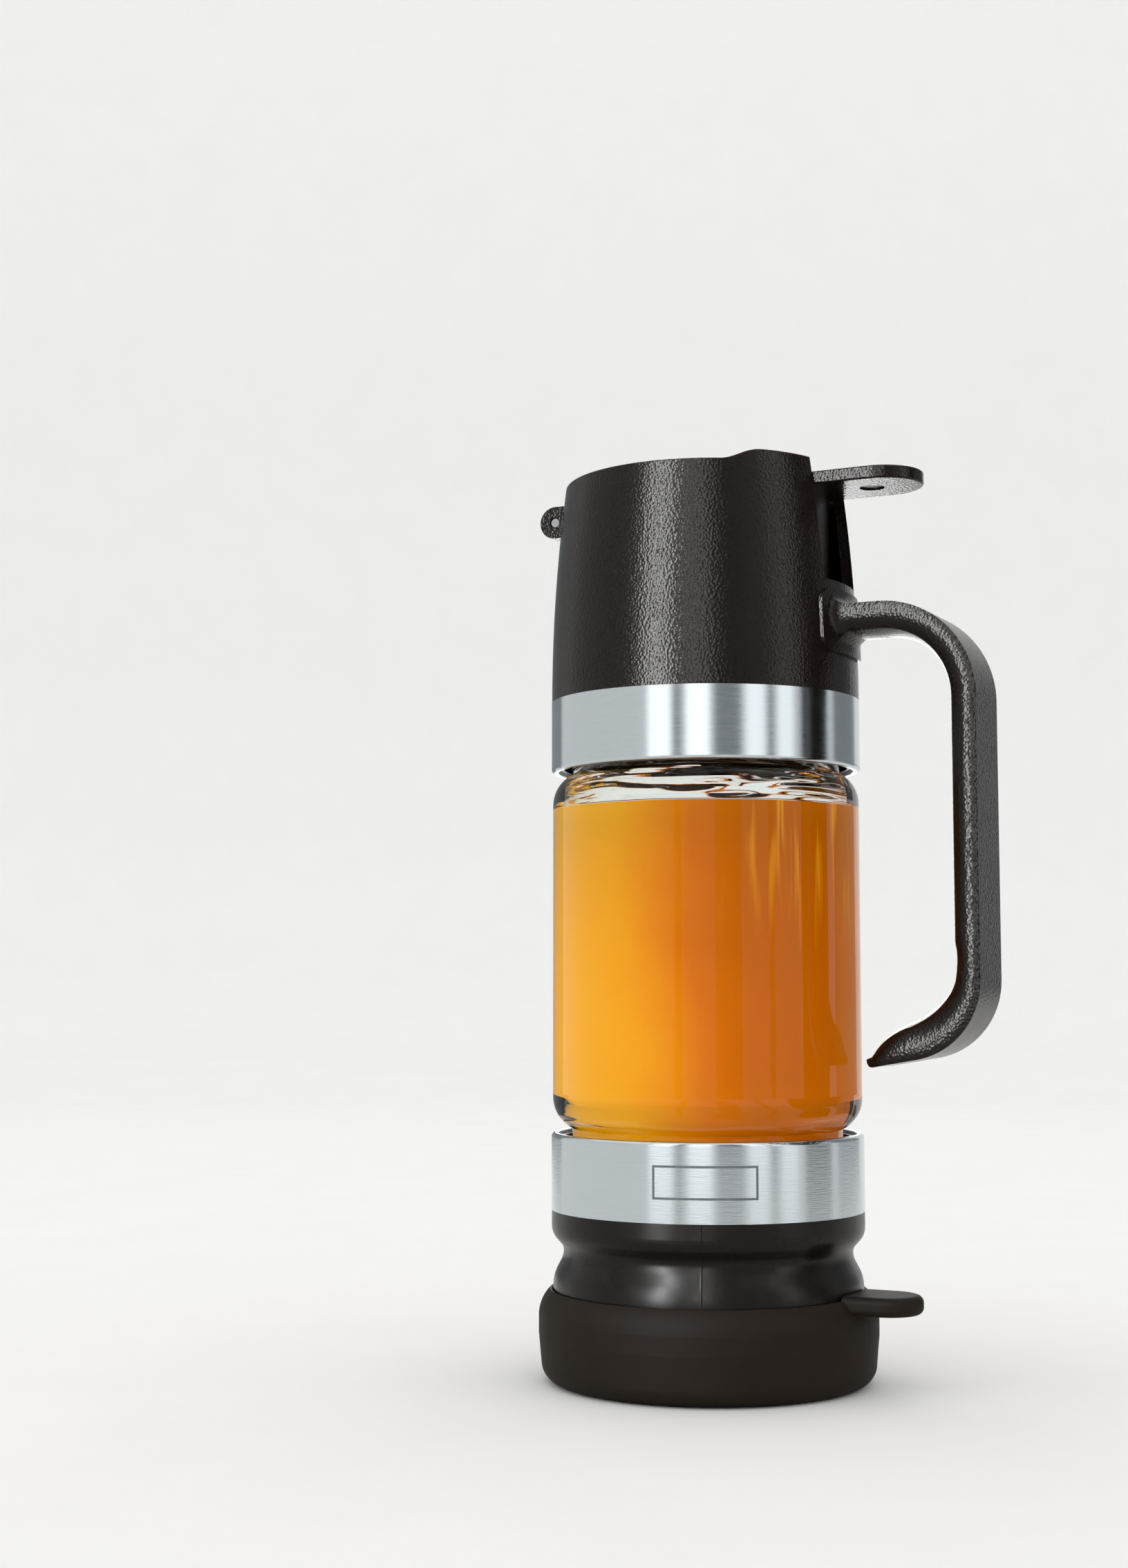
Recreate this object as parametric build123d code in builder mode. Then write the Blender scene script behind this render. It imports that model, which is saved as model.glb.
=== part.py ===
from build123d import *
import os
from math import cos, hypot, pi, radians, sin, sqrt

os.makedirs("parts", exist_ok=True)

# Honey dispenser, in millimetres. The origin is the centre of the underside of the silicone
# base, on the jar's axis. +Z is up, +X points to the handle and -X to the lever's hinge.

# Gaps and fits
seat_gap = 0.2        # under a piece that lifts off what it stands on
seal_gap = 0.3        # between a glass lip and its gasket
lift_gap = 0.3        # round the nozzle base inside the silicone base
press_gap = 0.05      # round a piece that is pressed or screwed on its seat
running_gap = 0.05    # round the hinge pin, the piston seal and the stem
thread_gap = 0.5      # between a lug's tip and the wall that it passes
lug_gap = 0.3         # between two lugs that hold each other
lever_gap = 0.5       # each side of the lever, in the slot
push_gap = 0.3        # between the lever's nose and the plunger's head
edge_tolerance = 0.03 # how close a found edge lies to its place

# Glass jar, alike at both ends
jar_radius = 35.5
jar_wall = 2.5
jar_height = 107.4
shoulder_round = 8.0
neck_inset = 4.5      # from the jar's side in to the neck's
neck_wall = 2.4
neck_height = 13.0
lip_round = 0.9

# Twist lock between each neck and its collar
lug_count = 3
lug_arc = 56.0
lug_height = 2.0
lug_depth = 1.35
lug_from_lip = 4.0

# Steel rings and the black collars inside them
collar_wall = 1.3
collar_inset = 0.9    # how far a collar ends inside its ring's edge
ring_wall = 1.6
ring_round = 0.9
ring_proud = 0.05     # how far a ring stands over the plastic beside it
lower_ring_height = 17.4
upper_ring_height = 16.4

# Silicone base
base_wall = 3.0
base_height = 20.6
base_floor = 4.0
base_foot_round = 4.4
base_foot_taper = 0.6
base_widest = 11.0
base_shoulder = 5.4
shoulder_across = 0.62 # share of the wall where the shoulder's curve passes
shoulder_down = 0.32   # share of the shoulder's height there
base_lip = 0.5
base_plug_radius = 9.0
base_plug_height = 3.0
pull_tab_reach = 12.0
pull_tab_width = 16.0
pull_tab_thick = 4.2
pull_tab_rise = 1.1   # how far the tab's top stands over the base's rim
pull_tab_round = 1.6

# Nozzle base
bulge_inset = 0.35    # from the band's side in to the bulge's
nozzle_height = 34.3
nozzle_wall = 2.2
nozzle_foot = 2.0     # chamfer round the underside
bulge_height = 16.8
waist_height = 25.1
waist_depth = 2.4
nozzle_band = 3.4     # straight band below the steel ring
shelf_rise = 1.0
shelf_thick = 2.2
shelf_width = 4.2

# Funnel, slit valve and retainer
funnel_flange = 2.0
funnel_wall = 1.8
funnel_drop = 23.0
spout_radius = 8.0
spout_wall = 2.0
spout_length = 7.0
valve_rim = 1.2
valve_skin = 0.8
valve_radius = 6.6
slit_width = 0.3
slit_length = 9.2
retainer_lip = 1.4
retainer_wall = 1.8
retainer_grip = 5.0

# Gaskets at the glass lips
gasket_thick = 2.0
gasket_margin = 0.6   # between a gasket's edge and the collar round it

# Top housing
housing_height = 51.0
housing_taper = 3.35  # how far the side curves in up to the rim
housing_wall = 2.5
rim_round = 0.4
rear_rise = 2.5       # how much higher the rim is at the back
rise_start = 15.5
rise_end = 23.5
web_thick = 2.5
web_below_seat = 1.5
web_slack = 0.5       # round the cylinder where it passes the web
slot_below_rim = 25.5

# Lever and its hinge
pin_stand_off = 4.5   # from the rim's outside to the pin
pin_radius = 1.25
pin_inset = 0.3
ear_radius = 3.85
ear_thick = 2.4
ear_gap = 0.25
knuckle_width = 4.6
notch_clearance = 0.6
lever_thick = 3.0
lever_below_rim = 0.8
pin_below_lever = 4.6
lever_disc_gap = 0.6
thumb_reach = 20.9    # from the rim's outside to the thumb tab's tip
thumb_width = 19.6
thumb_edge = 0.5
mark_radius = 2.85
mark_depth = 0.4
mark_from_tip = 11.7
apron_thick = 1.9
apron_drop = 21.0
apron_edge = 0.8
apron_side_gap = 0.3
rib_thick = 1.6
rib_depth = 5.0
rib_spread = 19.0
rib_setback = 5.8     # between a rib's end and the disc's edge
nose_radius = 6.0
nose_drop = 2.9

# Air pump
bore_radius = 14.0
cylinder_wall = 2.0
cylinder_floor = 2.0
cylinder_height = 22.5
flange_radius = 24.0
flange_thick = 2.0
pump_gasket_thick = 1.0
cap_plate = 2.0
cap_skirt = 6.0
cap_wall = 1.5
stem_radius = 4.5
head_radius = 8.0
head_thick = 3.0
piston_height = 5.7
piston_top_gap = 0.3
piston_side_gap = 0.4
piston_web = 2.2
recess_radius = 10.4
groove_depth = 1.6
groove_height = 2.4
air_hole_radius = 1.0
air_hole_count = 4
cap_hole_offset = 9.0
intake_offset = 6.3
vent_offset = 4.2
flap_radius = 8.0
flap_thick = 0.7
post_radius = 2.5
umbrella_radius = 6.5
umbrella_thick = 0.8
umbrella_stem = 1.25
umbrella_barb = 1.9
spring_radius = 9.1
spring_wire = 0.5
spring_turns = 5
post_lip = 0.7

# Screws
screw_radius = 1.5
screw_head_radius = 2.8
screw_head_height = 1.6
screw_recess = 1.0
cross_length = 3.6
cross_width = 0.8
screw_slack = 0.2
pump_screw_count = 4
pump_screw_offset = 20.0
pump_screw_bite = 2.0
handle_screw_spread = 9.0
handle_screw_bite = 8.0

# Handle
handle_stand_off = 31.55  # from the housing's foot to the grip's outer face
handle_width = 17.3
handle_depth = 7.0
handle_corner = 22.0
handle_below_slot = 5.9
handle_edge = 0.35
grip_side = 0.38      # share of the depth where the grip is widest
grip_cheek = 0.84     # share of the depth where its inner face starts to arch
grip_crown = 0.8      # share of the half width there
grip_blend = 0.22     # share of the depth that rounds the inner edges
tip_leans = (35, 65)  # degrees round the tip's end
grip_length = 54.0
hook_lead = 8.0
hook_corner = 17.6
hook_turn = 80.0
hook_swell = 2.2
swell_past = 1.5      # steps past the bend at which the swell has gone
hook_clear = 5.4      # between the glass and the hook's tip
tip_depth = 2.7
tip_width = 14.0
pad_margin = 3.8
pad_thick = 0.7
root_round = 3.0

# Radii that follow from the jar outwards
neck_radius = jar_radius - neck_inset
collar_inner = neck_radius + lug_depth + thread_gap
collar_outer = collar_inner + collar_wall
ring_inner = collar_outer + press_gap
ring_radius = ring_inner + ring_wall
band_radius = ring_radius - ring_proud
nozzle_radius = band_radius - bulge_inset
base_inner = nozzle_radius + lift_gap
base_radius = base_inner + base_wall
neck_bore = neck_radius - neck_wall
gasket_outer = collar_inner - gasket_margin
rim_radius = band_radius - housing_taper
side_radius = (housing_height**2 + housing_taper**2) / (2 * housing_taper)

# Heights, from the table upwards
nozzle_seat = base_floor + seat_gap
skirt_top = nozzle_seat + nozzle_height
shelf_top = skirt_top + shelf_rise
flange_top = shelf_top + funnel_flange
jar_bottom = flange_top + gasket_thick + seal_gap
jar_top = jar_bottom + jar_height
web_bottom = jar_top + seal_gap + gasket_thick
web_top = web_bottom + web_thick
housing_seat = web_bottom + web_below_seat
rim_height = housing_seat + housing_height
rear_height = rim_height + rear_rise
slot_bottom = rim_height - slot_below_rim
lower_ring_top = skirt_top + lower_ring_height
upper_ring_bottom = housing_seat - upper_ring_height
lever_top = rim_height - lever_below_rim
lever_bottom = lever_top - lever_thick
pin_reach = rim_radius + pin_stand_off
pin_height = lever_top - pin_below_lever
thumb_tip = rim_radius + thumb_reach
slot_width = thumb_width + 2 * lever_gap
nose_bottom = lever_bottom - nose_drop - nose_radius
head_top = nose_bottom - push_gap
pump_seat = web_top + pump_gasket_thick
pump_top = pump_seat + flange_thick
floor_top = web_bottom + cylinder_floor
cylinder_top = web_bottom + cylinder_height
piston_top = cylinder_top - piston_top_gap
piston_bottom = piston_top - piston_height
recess_roof = piston_top - piston_web
cylinder_radius = bore_radius + cylinder_wall
web_bore = cylinder_radius + web_slack
flap_top = recess_roof - press_gap
handle_top = slot_bottom - handle_below_slot
screw_height = handle_top - handle_depth / 2
handle_reach = band_radius + handle_stand_off
grip_bottom = handle_top - handle_corner - grip_length
hook_start = grip_bottom - hook_lead
tip_reach = jar_radius + hook_clear


def housing_radius_at(height, offset=0.0):
    """Radius of the housing's arched side at a height, moved outwards by an offset."""
    rise = height - housing_seat
    return band_radius - side_radius + sqrt(side_radius**2 - rise**2) + offset


def ring_sketch(height, inner, outer):
    """A flat ring at one height."""
    with BuildSketch(Plane.XY.offset(height)) as flat:
        Circle(outer)
        Circle(inner, mode=Mode.SUBTRACT)
    return flat.sketch


def lug_sketch(height, inner, outer):
    """Arcs of a flat ring, spaced alike round the axis, at one height."""
    gap = 360 / lug_count - lug_arc
    reach = 3 * outer
    far_x = reach * cos(radians(gap / 2))
    far_y = reach * sin(radians(gap / 2))
    with BuildSketch(Plane.XY.offset(height)) as lugs:
        Circle(outer)
        Circle(inner, mode=Mode.SUBTRACT)
        with PolarLocations(0, lug_count):
            Polygon((0, 0), (far_x, -far_y), (far_x, far_y), align=None, mode=Mode.SUBTRACT)
    return lugs.sketch


def side_arc(bottom, top, offset=0.0):
    """Arc along the housing's side, from one height to another."""
    middle = (bottom + top) / 2
    heights = (bottom, middle, top)
    return ThreePointArc(*[(housing_radius_at(height, offset), height) for height in heights])


def core_sketch(bottom, top, offset):
    """Half section of a solid core that follows the housing's side, moved by an offset."""
    with BuildSketch(Plane.XZ) as core:
        with BuildLine():
            side = side_arc(bottom, top, offset)
            add(side)
            Polyline(side @ 1, (0, top), (0, bottom), side @ 0)
        make_face()
    return core.sketch


def grip_sketch(plane, width, depth):
    """Handle section: flat outer face on the plane's X axis, crowned sides, arched inside."""
    half = width / 2
    side = -grip_side * depth
    cheek = grip_crown * half
    cheek_depth = -grip_cheek * depth
    with BuildSketch(plane) as section:
        with BuildLine():
            Line((handle_edge - half, 0), (half - handle_edge, 0))
            ThreePointArc((half - handle_edge, 0), (half, side), (cheek, cheek_depth))
            ThreePointArc((cheek, cheek_depth), (0, -depth), (-cheek, cheek_depth))
            ThreePointArc((-cheek, cheek_depth), (-half, side), (handle_edge - half, 0))
        make_face()
        fillet(section.vertices().group_by(Axis.Y)[0], grip_blend * depth)
    return section.sketch


def is_rim_edge(edge):
    """Whether an edge of the housing runs along its rim, outside or inside."""
    at_rim = edge.bounding_box().min.Z > rim_height - edge_tolerance
    return at_rim and edge.length > 2 * housing_wall


def is_root_edge(edge):
    """Whether an edge of the handle is where its arm meets the face of the saddle pad."""
    middle = edge @ 0.5
    pad_radius = housing_radius_at(middle.Z, press_gap + pad_thick)
    on_pad = abs(hypot(middle.X, middle.Y) - pad_radius) < edge_tolerance
    beside_arm = abs(middle.Y) < handle_width / 2 + pad_margin / 2
    below = handle_top - handle_depth - pad_margin / 2
    return on_pad and beside_arm and below < middle.Z < handle_top + pad_margin / 2


# Silicone base: closing cap and stand, with a plug under the valve and a pull tab
foot_radius = base_radius - base_foot_taper
tab_centre = base_radius + pull_tab_reach - pull_tab_width / 2
tab_bottom = base_height + pull_tab_rise - pull_tab_thick
with BuildPart() as pull_tab:
    with BuildSketch(Plane.XY.offset(tab_bottom)):
        with Locations((tab_centre / 2, 0)):
            Rectangle(tab_centre, pull_tab_width)
        with Locations((tab_centre, 0)):
            Circle(pull_tab_width / 2)
    extrude(amount=pull_tab_thick)
    fillet(pull_tab.edges().group_by(Axis.Z)[-1], pull_tab_round)
    fillet(pull_tab.edges().group_by(Axis.Z)[0], pull_tab_round)

with BuildPart() as silicone_base:
    with BuildSketch(Plane.XZ):
        with BuildLine():
            Line((0, 0), (foot_radius - base_foot_round, 0))
            RadiusArc((foot_radius - base_foot_round, 0), (foot_radius, base_foot_round), -base_foot_round)
            Line((foot_radius, base_foot_round), (base_radius, base_widest))
            Line((base_radius, base_widest), (base_radius, base_height - base_shoulder))
            ThreePointArc(
                (base_radius, base_height - base_shoulder),
                (base_inner + shoulder_across * base_wall, base_height - shoulder_down * base_shoulder),
                (base_inner + base_lip, base_height),
            )
            Polyline((base_inner + base_lip, base_height), (0, base_height), (0, 0))
        make_face()
    revolve(axis=Axis.Z)
    add(pull_tab.part)
    with BuildSketch(Plane.XY.offset(base_floor)):
        Circle(base_inner)
    extrude(amount=base_height, mode=Mode.SUBTRACT)
    with BuildSketch(Plane.XY.offset(base_floor)):
        Circle(base_plug_radius)
    extrude(amount=base_plug_height)
silicone_base.part.label = "silicone_base"
export_step(silicone_base.part, "parts/silicone_base.step")

# Nozzle base: waisted skirt, shelf for the funnel and collar with lugs for the jar's neck
waist_radius = nozzle_radius - waist_depth
bulge_at = nozzle_seat + bulge_height
waist_at = nozzle_seat + waist_height
band_at = skirt_top - nozzle_band
collar_top = lower_ring_top - collar_inset
shelf_bore = collar_inner - shelf_width
with BuildPart() as nozzle_base:
    with BuildSketch(Plane.XZ):
        with BuildLine():
            Line((nozzle_radius - nozzle_foot, nozzle_seat), (nozzle_radius, nozzle_seat + nozzle_foot))
            Line((nozzle_radius, nozzle_seat + nozzle_foot), (nozzle_radius, bulge_at))
            Spline(
                (nozzle_radius, bulge_at),
                (waist_radius, waist_at),
                (band_radius, band_at),
                tangents=((0, 1), (0, 1), (0, 1)),
            )
            Polyline(
                (band_radius, band_at),
                (band_radius, skirt_top),
                (collar_outer, skirt_top),
                (collar_outer, collar_top),
                (collar_inner, collar_top),
                (collar_inner, shelf_top),
                (shelf_bore, shelf_top),
                (shelf_bore, shelf_top - shelf_thick),
                (band_radius - nozzle_wall, shelf_top - shelf_thick),
                (band_radius - nozzle_wall, band_at),
            )
            Spline(
                (band_radius - nozzle_wall, band_at),
                (waist_radius - nozzle_wall, waist_at),
                (nozzle_radius - nozzle_wall, bulge_at),
                tangents=((0, -1), (0, -1), (0, -1)),
            )
            Polyline(
                (nozzle_radius - nozzle_wall, bulge_at),
                (nozzle_radius - nozzle_wall, nozzle_seat),
                (nozzle_radius - nozzle_foot, nozzle_seat),
            )
        make_face()
    revolve(axis=Axis.Z)
    collar_lug_at = jar_bottom + lug_from_lip + lug_height + lug_gap
    extrude(
        lug_sketch(collar_lug_at, collar_inner - lug_depth, collar_inner + collar_wall / 2),
        amount=lug_height,
    )
nozzle_base.part.label = "nozzle_base"
export_step(nozzle_base.part, "parts/nozzle_base.step")

# Steel rings, each pressed over its collar, with the edge that faces the glass rounded
with BuildPart() as lower_steel_ring:
    extrude(ring_sketch(skirt_top, ring_inner, ring_radius), amount=lower_ring_height)
    fillet(lower_steel_ring.edges().group_by(Axis.Z)[-1].sort_by(SortBy.RADIUS)[-1], ring_round)
    fillet(lower_steel_ring.edges().group_by(Axis.Z)[-1].sort_by(SortBy.RADIUS)[0], ring_round / 3)
lower_steel_ring.part.label = "lower_steel_ring"
export_step(lower_steel_ring.part, "parts/lower_steel_ring.step")

with BuildPart() as upper_steel_ring:
    extrude(ring_sketch(upper_ring_bottom, ring_inner, ring_radius), amount=upper_ring_height)
    fillet(upper_steel_ring.edges().group_by(Axis.Z)[0].sort_by(SortBy.RADIUS)[-1], ring_round)
    fillet(upper_steel_ring.edges().group_by(Axis.Z)[0].sort_by(SortBy.RADIUS)[0], ring_round / 3)
upper_steel_ring.part.label = "upper_steel_ring"
export_step(upper_steel_ring.part, "parts/upper_steel_ring.step")

# Gaskets that the two glass lips press on
with BuildPart() as lower_gasket:
    extrude(ring_sketch(flange_top, neck_bore, gasket_outer), amount=gasket_thick)
lower_gasket.part.label = "lower_gasket"
export_step(lower_gasket.part, "parts/lower_gasket.step")

with BuildPart() as upper_gasket:
    extrude(ring_sketch(web_bottom - gasket_thick, neck_bore, gasket_outer), amount=gasket_thick)
upper_gasket.part.label = "upper_gasket"
export_step(upper_gasket.part, "parts/upper_gasket.step")

# Nozzle funnel: flange on the shelf, cone and spout
funnel_mouth = neck_bore - gasket_margin
cone_foot = flange_top - funnel_drop
spout_bottom = cone_foot - spout_length
spout_outer = spout_radius + spout_wall
with BuildPart() as nozzle_funnel:
    with BuildSketch(Plane.XZ):
        Polygon(
            (funnel_mouth, flange_top),
            (gasket_outer, flange_top),
            (gasket_outer, shelf_top),
            (shelf_bore - press_gap, shelf_top),
            (shelf_bore - press_gap, shelf_top - funnel_wall),
            (spout_outer, cone_foot - funnel_wall),
            (spout_outer, spout_bottom),
            (spout_radius, spout_bottom),
            (spout_radius, cone_foot),
            align=None,
        )
    revolve(axis=Axis.Z)
nozzle_funnel.part.label = "nozzle_funnel"
export_step(nozzle_funnel.part, "parts/nozzle_funnel.step")

# Slit valve: rim under the spout, skirt inside it and a skin cut by crossed slits
valve_bottom = spout_bottom - valve_rim
valve_top = spout_bottom + valve_rim + valve_skin
with BuildPart() as slit_valve:
    with BuildSketch(Plane.XY.offset(valve_bottom)):
        Circle(spout_outer - press_gap)
    extrude(amount=valve_rim)
    with BuildSketch(Plane.XY.offset(spout_bottom)):
        Circle(valve_radius + valve_skin)
    extrude(amount=valve_top - spout_bottom)
    with BuildSketch(Plane.XY.offset(valve_bottom)):
        Circle(valve_radius)
    extrude(amount=valve_top - valve_bottom - valve_skin, mode=Mode.SUBTRACT)
    with BuildSketch(Plane.XY.offset(valve_top)):
        Rectangle(slit_length, slit_width)
        Rectangle(slit_width, slit_length)
    extrude(amount=-valve_skin, mode=Mode.SUBTRACT)
slit_valve.part.label = "slit_valve"
export_step(slit_valve.part, "parts/slit_valve.step")

# Valve retainer: ring that grips the spout and holds the valve's rim up
retainer_bottom = valve_bottom - retainer_lip
with BuildPart() as valve_retainer:
    with BuildSketch(Plane.XY.offset(retainer_bottom)):
        Circle(spout_outer + press_gap + retainer_wall)
    extrude(amount=retainer_lip + valve_rim + retainer_grip)
    chamfer(valve_retainer.edges().group_by(Axis.Z)[0], retainer_lip / 3)
    with BuildSketch(Plane.XY.offset(valve_bottom)):
        Circle(spout_outer + press_gap)
    extrude(amount=valve_rim + retainer_grip, mode=Mode.SUBTRACT)
    with BuildSketch(Plane.XY.offset(retainer_bottom)):
        Circle(valve_radius)
    extrude(amount=retainer_lip, mode=Mode.SUBTRACT)
valve_retainer.part.label = "valve_retainer"
export_step(valve_retainer.part, "parts/valve_retainer.step")

# Glass jar: rounded shoulders, a neck at each end and lugs round both necks
jar_middle = (jar_bottom + jar_top) / 2
half_jar = jar_height / 2
inner_round = shoulder_round - jar_wall
outer_drop = sqrt(shoulder_round**2 - (shoulder_round - (jar_radius - neck_radius)) ** 2)
inner_step = jar_radius - jar_wall - neck_bore
inner_drop = sqrt(inner_round**2 - (inner_round - inner_step) ** 2)
shoulder_top = half_jar - neck_height
with BuildPart() as glass_jar:
    with BuildSketch(Plane.XZ) as jar_section:
        with BuildLine():
            Line((jar_radius, jar_middle), (jar_radius, jar_middle + shoulder_top - outer_drop))
            RadiusArc(
                (jar_radius, jar_middle + shoulder_top - outer_drop),
                (neck_radius, jar_middle + shoulder_top),
                -shoulder_round,
            )
            Polyline(
                (neck_radius, jar_middle + shoulder_top),
                (neck_radius, jar_top),
                (neck_bore, jar_top),
                (neck_bore, jar_middle + shoulder_top),
            )
            RadiusArc(
                (neck_bore, jar_middle + shoulder_top),
                (jar_radius - jar_wall, jar_middle + shoulder_top - inner_drop),
                inner_round,
            )
            Polyline(
                (jar_radius - jar_wall, jar_middle + shoulder_top - inner_drop),
                (jar_radius - jar_wall, jar_middle),
                (jar_radius, jar_middle),
            )
        make_face()
        fillet(jar_section.vertices().group_by(Axis.Y)[-1], lip_round)
    revolve(axis=Axis.Z)
    jar_lug_at = jar_top - lug_from_lip - lug_height
    extrude(
        lug_sketch(jar_lug_at, neck_radius - neck_wall / 2, neck_radius + lug_depth),
        amount=lug_height,
    )
    mirror(about=Plane.XY.offset(jar_middle))
glass_jar.part.label = "glass_jar"
export_step(glass_jar.part, "parts/glass_jar.step")

# Top housing: arched cup with a web and a collar, wavy rim, slot, notch and hinge ears
upper_collar_bottom = upper_ring_bottom + collar_inset
ear_outer = knuckle_width / 2 + ear_gap + ear_thick
notch_half = knuckle_width / 2 + ear_gap
notch_bottom = pin_height - ear_radius - notch_clearance
with BuildPart() as top_housing:
    with BuildSketch(Plane.XZ):
        with BuildLine():
            Polyline(
                (collar_outer, upper_collar_bottom),
                (collar_outer, housing_seat),
                (band_radius, housing_seat),
            )
            add(side_arc(housing_seat, rear_height))
            Polyline(
                (housing_radius_at(rear_height), rear_height),
                (0, rear_height),
                (0, web_bottom),
                (collar_inner, web_bottom),
                (collar_inner, upper_collar_bottom),
                (collar_outer, upper_collar_bottom),
            )
        make_face()
    revolve(axis=Axis.Z)
    with BuildSketch(Plane.XZ.offset(-ear_outer)):
        with Locations((-pin_reach, pin_height)):
            Circle(ear_radius)
        with Locations((-pin_reach / 2, pin_height)):
            Rectangle(pin_reach, 2 * ear_radius)
    extrude(amount=2 * ear_outer)
    housing_lug_at = jar_top - lug_from_lip - 2 * lug_height - lug_gap
    extrude(
        lug_sketch(housing_lug_at, collar_inner - lug_depth, collar_inner + collar_wall / 2),
        amount=lug_height,
    )
    with BuildSketch(Plane.XZ.offset(-2 * band_radius)):
        with BuildLine():
            Line((-2 * band_radius, rim_height), (rise_start, rim_height))
            Spline((rise_start, rim_height), (rise_end, rear_height), tangents=((1, 0), (1, 0)))
            Polyline(
                (rise_end, rear_height),
                (2 * band_radius, rear_height),
                (2 * band_radius, rear_height + rear_rise),
                (-2 * band_radius, rear_height + rear_rise),
                (-2 * band_radius, rim_height),
            )
        make_face()
    extrude(amount=4 * band_radius, mode=Mode.SUBTRACT)
    revolve(core_sketch(web_top, rear_height + rear_rise, -housing_wall), axis=Axis.Z, mode=Mode.SUBTRACT)
    with BuildSketch(Plane.XY.offset(web_bottom)):
        Circle(web_bore)
    extrude(amount=web_thick, mode=Mode.SUBTRACT)
    with BuildSketch(Plane.XY.offset(slot_bottom)):
        with Locations((band_radius, 0)):
            Rectangle(band_radius, slot_width)
    extrude(amount=2 * slot_below_rim, mode=Mode.SUBTRACT)
    with BuildSketch(Plane.XY.offset(notch_bottom)):
        with Locations((-pin_reach, 0)):
            Rectangle(2 * pin_stand_off + 4 * housing_wall, 2 * notch_half)
    extrude(amount=2 * slot_below_rim, mode=Mode.SUBTRACT)
    with BuildSketch(Plane.XZ.offset(-ear_outer)):
        with Locations((-pin_reach, pin_height)):
            Circle(pin_radius + press_gap)
    extrude(amount=2 * ear_outer, mode=Mode.SUBTRACT)
    with BuildSketch(Plane.XY.offset(web_top)):
        with PolarLocations(pump_screw_offset, pump_screw_count, start_angle=180 / pump_screw_count):
            Circle(screw_radius + press_gap)
    extrude(amount=-pump_screw_bite - press_gap, mode=Mode.SUBTRACT)
    with BuildSketch(Plane.YZ):
        with Locations((0, screw_height)):
            with GridLocations(handle_screw_spread, 1, 2, 1):
                Circle(screw_radius + screw_slack)
    extrude(amount=2 * band_radius, mode=Mode.SUBTRACT)
    fillet(top_housing.edges().filter_by(is_rim_edge), rim_round)
top_housing.part.label = "top_housing"
export_step(top_housing.part, "parts/top_housing.step")

# Handle: saddle pad on the housing, bent arm and grip, and a hook that thins to its tip
pad_top = handle_top + pad_margin
pad_bottom = handle_top - handle_depth - pad_margin
pad_face = press_gap + pad_thick
arm_start = Plane(origin=(band_radius / 2, 0, handle_top), x_dir=(0, 1, 0), z_dir=(1, 0, 0))
hook_centre = handle_reach - hook_corner
hook_steps = 4
core_low = pad_bottom - pad_margin
core_high = pad_top + pad_margin
with BuildPart() as saddle_pad:
    revolve(core_sketch(core_low, core_high, pad_face), axis=Axis.Z)
    with BuildSketch(Plane.YZ):
        with Locations((0, (pad_top + pad_bottom) / 2)):
            RectangleRounded(handle_width + 2 * pad_margin, pad_top - pad_bottom, pad_margin)
    extrude(amount=2 * band_radius, mode=Mode.INTERSECT)

with BuildPart() as handle:
    with BuildLine(Plane.XZ) as grip_line:
        FilletPolyline(
            (band_radius / 2, handle_top),
            (handle_reach, handle_top),
            (handle_reach, grip_bottom),
            radius=handle_corner,
        )
    sweep(grip_sketch(arm_start, handle_width, handle_depth), path=grip_line.wires()[0])
    hook_start_plane = Plane(origin=(handle_reach, 0, grip_bottom), x_dir=(0, 1, 0), z_dir=(0, 0, -1))
    hook_sections = [grip_sketch(hook_start_plane, handle_width, handle_depth)]
    for step in range(hook_steps + 1):
        turn = radians(hook_turn * step / hook_steps)
        station = Plane(
            origin=(hook_centre + hook_corner * cos(turn), 0, hook_start - hook_corner * sin(turn)),
            x_dir=(0, 1, 0),
            z_dir=(-sin(turn), 0, -cos(turn)),
        )
        swell = hook_swell * sin(pi * step / (hook_steps + swell_past))
        hook_sections.append(grip_sketch(station, handle_width, handle_depth + swell))
    arc_end = station.origin
    tip_round = tip_depth / 2
    tip_run = (arc_end.X - tip_reach) / sin(turn) - tip_round
    hook_sections.append(grip_sketch(station.offset(tip_run), tip_width, tip_depth))
    with BuildLine(Plane.XZ) as hook_line:
        Line((handle_reach, grip_bottom), (handle_reach, hook_start))
        arc = CenterArc((hook_centre, hook_start), hook_corner, 0, -hook_turn)
        Line(arc @ 1, (arc_end.X - tip_run * sin(turn), arc_end.Z - tip_run * cos(turn)))
    sweep(hook_sections, path=hook_line.wires()[0], multisection=True)
    tip_sections = [hook_sections[-1]]
    for lean in tip_leans:
        shrink = tip_depth * (1 - cos(radians(lean)))
        end = station.offset(tip_run + tip_round * sin(radians(lean)))
        end_plane = Plane(origin=end.origin - end.y_dir * shrink / 2, x_dir=end.x_dir, z_dir=end.z_dir)
        tip_sections.append(grip_sketch(end_plane, tip_width - shrink, tip_depth - shrink))
    loft(tip_sections, ruled=True)
    add(saddle_pad.part)
    revolve(core_sketch(core_low, core_high, press_gap), axis=Axis.Z, mode=Mode.SUBTRACT)
    fillet(handle.edges().filter_by(is_root_edge), root_round)
    with BuildSketch(Plane.YZ.offset(band_radius + handle_screw_bite + screw_slack)):
        with Locations((0, screw_height)):
            with GridLocations(handle_screw_spread, 1, 2, 1):
                Circle(screw_radius + press_gap)
    extrude(amount=-band_radius, mode=Mode.SUBTRACT)
handle.part.label = "handle"
export_step(handle.part, "parts/handle.step")

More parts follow.
